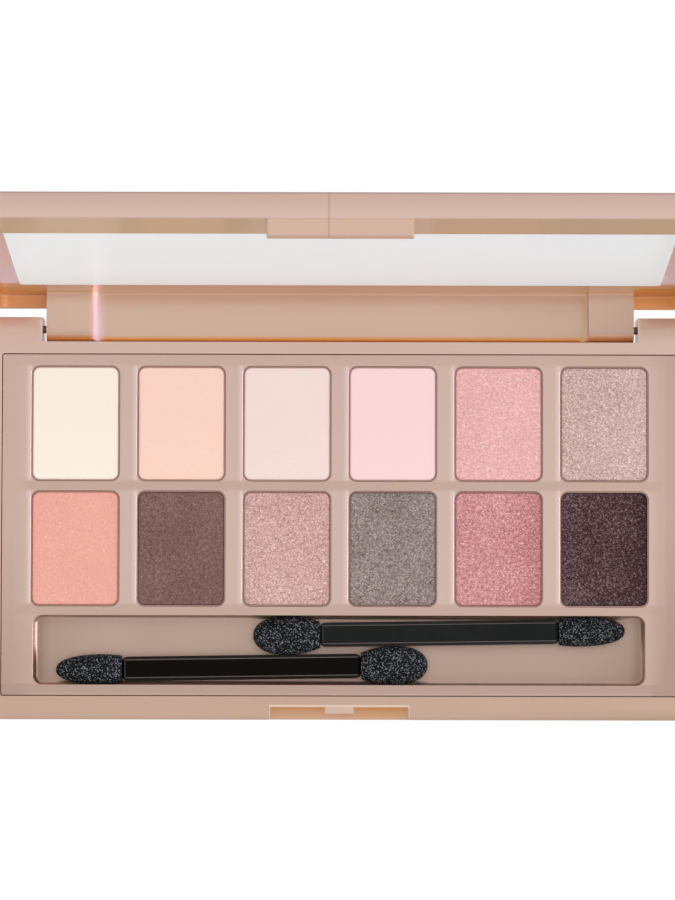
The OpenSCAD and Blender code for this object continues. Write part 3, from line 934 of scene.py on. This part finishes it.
# ---------------------------------------------------------------------------
# Applicator handles. Each is a bar of polished black plastic with a flat face
# and bevelled edges; its ends run out in flat paddles inside the sponges.
# ---------------------------------------------------------------------------
HANDLE_HALF = 23.5 * MM
HANDLE_SIDE = 2.4 * MM
HANDLE_BEVEL = 0.65 * MM
FLAT_HALF = HANDLE_HALF - HANDLE_BEVEL
FLAT_SIDE = HANDLE_SIDE - HANDLE_BEVEL
LAY_TURN = math.radians(0.85)
EDGE_LINE = 0.09 * MM
SMEAR_SIZE = 5 * MM
HANDLE_EDGE_HIGHLIGHT = colour(150, 142, 136)
# Side, deep tint, sheen, and how strong the painted highlight along its edges is; the
# rear handle's tints are painted lighter as a reflection
HANDLES = (
    ("front", (4, 3, 2), (13, 9, 6), 0.8),
    ("rear", (22, 23, 23), (36, 37, 37), 0.6),
)

for side, deep, sheen, edge_highlight in HANDLES:
    low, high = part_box(f"{side}_handle")
    polish = Finish(f"black_polish_{side}")
    local = polish.node(
        "ShaderNodeMapping",
        {"vector_type": "TEXTURE"},
        {"Vector": polish.place, "Location": (low + high) / 2, "Rotation": (0, 0, LAY_TURN)},
    )
    along, across, height = polish.axes(local)
    outside = across.size() - FLAT_SIDE
    bevel = outside > 0.0
    long_edge = outside.line(0.0, EDGE_LINE) * (along.size() < FLAT_HALF)
    left_end = along.line(-FLAT_HALF, EDGE_LINE) * (outside < 0.0)
    smear = polish.noise(SMEAR_SIZE, 3)
    # Painted highlights along the flat face's long edges and left end, and a lighter bevel
    polish.set(
        Base_Color=polish.mix(
            (long_edge * edge_highlight + left_end * (edge_highlight - 0.3) + bevel * 0.06).clamped(),
            polish.mix(smear, colour(*deep), colour(*sheen)),
            HANDLE_EDGE_HIGHLIGHT,
        ),
        Roughness=0.12 + smear * 0.10,
        Coat_Weight=bevel * 0.25,
        Coat_Roughness=0.15,
        Specular_IOR_Level=0.07,
    )
    dress(f"{side}_handle", polish)


# ---------------------------------------------------------------------------
# Applicator sponges. Each is black foam, cut and ground to a blunt point or a
# round pad and glued over its paddle. Its open cells and loose crumbs catch
# the light as fine specks.
# ---------------------------------------------------------------------------
SPONGE_MOUTH = 5.2 * MM
SPONGE_THICK = 4.6 * MM
TIP_ROUND = 2.4
TIP_BLUNT = 0.45
# Points round each ring, and rings along a sponge, which crowd towards its tip
AROUND = 120
ALONG = 150
CROWDING = 0.9
# Name, end of the handle, length, width, and where along it the sponge is widest
SPONGES = (
    ("point", -1, 12.9 * MM, 5.8 * MM, 0.30),
    ("round", 1, 13.0 * MM, 7.6 * MM, 0.45),
)
FOAM_BLACK = colour(6, 6, 7)
FOAM_SPECK_HIGHLIGHT = colour(150, 155, 162)
SPECK_SIZE = 0.17 * MM
PATCH_SIZE = 0.28 * MM
FOAM_BUMP = 0.03 * MM
SPECK_SHINES = 0.8
SPECK_SHOWS = 0.85
PATCH_SHOWS = 0.45
# Open cells, and crumbs: how many on a square metre, and how their sizes and turns vary
CELL_SIZE = 0.38 * MM
CELL_DEPTH = 0.13 * MM
CELL_LEVEL = 0.4
CRUMB_SIZE = 0.055 * MM
CRUMB_COUNT = 4.0e6
CRUMB_LEAST = (0.4, 0.4, 0.4)
CRUMB_MOST = (1.3, 1.3, 1.3)
FULL_TURN = (6.28, 6.28, 6.28)
SPIN_SEED = 7
FIRST_SEED = 11

foam = Finish("black_foam")
speck = foam.specks(SPECK_SIZE)
patch_noise = foam.noise(PATCH_SIZE, 3, 0.8)
# Painted highlights: lighter specks on the black foam, with lighter patches
foam.set(
    Base_Color=foam.mix(
        ((speck > SPECK_SHOWS) * 0.62 + (patch_noise - PATCH_SHOWS).clamped() * 0.4).clamped(),
        FOAM_BLACK,
        FOAM_SPECK_HIGHLIGHT,
    ),
    Roughness=0.8 - (speck > SPECK_SHINES) * 0.3,
    Normal=foam.bump(patch_noise + speck, FOAM_BUMP),
    Specular_IOR_Level=0.15,
)


def sponge_half(share, full, peak):
    """Half width at a share of the length: widest at peak, blunt at the tip."""
    if share < peak:
        return SPONGE_MOUTH / 2 + (full - SPONGE_MOUTH) / 2 * math.sin(math.pi / 2 * share / peak)
    past = (share - peak) / (1 - peak)
    return full / 2 * max(0.0, 1 - past ** TIP_ROUND) ** TIP_BLUNT


def sponge_mesh(name, length, full, peak):
    """Closed sponge along +X from its mouth at the origin."""
    points = [(0, 0, 0)]
    for step in range(ALONG):
        share = math.sin(math.pi / 2 * step / ALONG) ** CROWDING
        half = sponge_half(share, full, peak)
        for turn in range(AROUND):
            angle = 2 * math.pi * turn / AROUND
            y = half * math.cos(angle)
            z = half * math.sin(angle) * SPONGE_THICK / full
            points.append((length * share, y, z))
    points.append((length, 0, 0))
    faces = []
    for turn in range(AROUND):
        after = (turn + 1) % AROUND
        faces.append((0, 1 + after, 1 + turn))
        last = 1 + (ALONG - 1) * AROUND
        faces.append((len(points) - 1, last + turn, last + after))
        for step in range(ALONG - 1):
            near = 1 + step * AROUND
            far = near + AROUND
            faces.append((near + turn, near + after, far + after, far + turn))
    return new_piece(name, points, faces)


def foam_cells():
    """Opens cells in the skin of a sponge and scatters crumbs of foam over it."""
    tree = Recipe(
        "foam_cells",
        Cell_Size="Float",
        Cell_Depth="Float",
        Crumb_Size="Float",
        Crumb_Count="Float",
        Seed="Int",
        Finish="Material",
    )
    wall = tree.node(
        "ShaderNodeTexVoronoi",
        {"voronoi_dimensions": "3D", "feature": "F1"},
        {"Scale": 1.0 / tree.given["Cell_Size"], "Randomness": 1.0},
        out="Distance",
    )
    offset = tree.node(
        "ShaderNodeVectorMath",
        {"operation": "SCALE"},
        {
            0: tree.node("GeometryNodeInputNormal"),
            "Scale": (wall - CELL_LEVEL) * tree.given["Cell_Depth"],
        },
    )
    skin = tree.node(
        "GeometryNodeSetPosition", inputs={"Geometry": tree.given["Geometry"], "Offset": offset}
    )
    scattered = tree.node(
        "GeometryNodeDistributePointsOnFaces",
        {"distribute_method": "RANDOM"},
        {"Mesh": skin, "Density": tree.given["Crumb_Count"], "Seed": tree.given["Seed"]},
    )
    crumb = tree.node(
        "GeometryNodeMeshIcoSphere",
        inputs={"Radius": tree.given["Crumb_Size"], "Subdivisions": 1},
    )
    size = tree.node(
        "FunctionNodeRandomValue",
        {"data_type": "FLOAT_VECTOR"},
        {0: CRUMB_LEAST, 1: CRUMB_MOST, "Seed": tree.given["Seed"]},
    )
    spin = tree.node(
        "FunctionNodeRandomValue",
        {"data_type": "FLOAT_VECTOR"},
        {0: (0, 0, 0), 1: FULL_TURN, "Seed": SPIN_SEED},
    )
    placed = tree.node(
        "GeometryNodeInstanceOnPoints",
        inputs={"Points": scattered, "Instance": crumb, "Rotation": spin, "Scale": size},
    )
    tree.end(tree.node("GeometryNodeJoinGeometry", inputs={0: [skin, placed]}))
    return tree


cell_recipe = foam_cells()
for turned, side in enumerate(("front", "rear")):
    low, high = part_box(f"{side}_handle")
    turn = Matrix.Rotation(LAY_TURN + math.pi * turned, 4, "Z")
    laid = Matrix.Translation((low + high) / 2) @ turn
    for index, (kind, end, length, full, peak) in enumerate(SPONGES):
        node = f"{side}_{kind}_sponge"
        sponge = sponge_mesh(f"{side}_{kind}_foam", length, full, peak)
        cell_recipe.apply(
            sponge,
            Cell_Size=CELL_SIZE,
            Cell_Depth=CELL_DEPTH,
            Crumb_Size=CRUMB_SIZE,
            Crumb_Count=CRUMB_COUNT,
            Seed=FIRST_SEED + 2 * turned + index,
            Finish=foam.material,
        )
        facing = Matrix.Rotation(0.0 if end > 0 else math.pi, 4, "Z")
        sponge.data.transform(laid @ Matrix.Translation((end * HANDLE_HALF, 0, 0)) @ facing)
        dress(node, foam)
        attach(sponge, f"{side}_applicator")
        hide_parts(node)


# ---------------------------------------------------------------------------
# Studio. A white sweep under the palette, one broad soft light overhead and a
# longer one low on the right, which lights the edges that face it.
# ---------------------------------------------------------------------------
RAYS = ("Is Camera Ray", "Is Glossy Ray", "Is Transmission Ray")
WHITE = (1.0, 1.0, 1.0, 1.0)
FLOOR_HALF = 3.0
FLOOR_UNDER = 0.01 * MM
FLOOR_PAINT = (0.88, 0.88, 0.88, 1.0)
FLOOR_MIRRORED = 0.62
WORLD_LEVEL = 0.58
MIRROR_LEVEL = 0.72
MIRROR_SLOPE = 0.30
# Name, place, size, watts, tint, and whether shiny pieces mirror it
LIGHTS = (
    ("overhead", (0.0, 0.1, 1.1), (1.2, 1.2), 5.1, (1.0, 1.0, 1.0), False),
    ("right_side", (0.95, -0.1, 0.5), (0.25, 1.0), 3.6, (0.98, 0.90, 1.0), True),
)

floor_corners = ((-1, -1), (1, -1), (1, 1), (-1, 1))
floor = new_piece(
    "floor",
    [(x * FLOOR_HALF, y * FLOOR_HALF, 0.0) for x, y in floor_corners],
    [(0, 1, 2, 3)],
)
floor.location.z = -FLOOR_UNDER
sweep = Finish("white_sweep")
sweep.set(Base_Color=FLOOR_PAINT, Roughness=0.9)
seen, glossy, through = sweep.node("ShaderNodeLightPath", out=RAYS)
glow = sweep.node(
    "ShaderNodeEmission",
    inputs={
        "Color": WHITE,
        "Strength": (seen + through).clamped() + glossy * FLOOR_MIRRORED,
    },
)
lit = Wire(sweep.tree, sweep.shader.outputs[0])
mixed = sweep.node(
    "ShaderNodeMixShader", inputs={0: (seen + through + glossy).clamped(), 1: lit, 2: glow}
)
sweep.feed(sweep.tree.nodes["Material Output"].inputs["Surface"], mixed)
floor.data.materials.append(sweep.material)

world = bpy.data.worlds.new("studio")
bpy.context.scene.world = world
world.use_nodes = True
sky = Nodes(world.node_tree)
seen, glossy, through = sky.node("ShaderNodeLightPath", out=RAYS)
direction = sky.node("ShaderNodeTexCoord", out="Generated")
behind, upright = sky.node("ShaderNodeSeparateXYZ", inputs={0: direction}, out=("Y", "Z"))
mirrored = MIRROR_LEVEL + behind * upright.clamped() ** 4.0 * MIRROR_SLOPE
level = (
    (1.0 - (seen + glossy + through).clamped()) * WORLD_LEVEL
    + (seen + through).clamped()
    + glossy * mirrored
)
background = sky.tree.nodes["Background"]
sky.feed(background.inputs["Color"], WHITE)
sky.feed(background.inputs["Strength"], level)

for name, place, size, watts, tint, shows in LIGHTS:
    data = bpy.data.lights.new(name, "AREA")
    data.shape = "RECTANGLE"
    data.size, data.size_y = size
    data.energy = watts
    data.color = tint
    lamp = bpy.data.objects.new(name, data)
    lamp.location = place
    lamp.visible_glossy = shows
    lamp.rotation_euler = (-Vector(place)).to_track_quat("-Z", "Y").to_euler()
    bpy.context.scene.collection.objects.link(lamp)
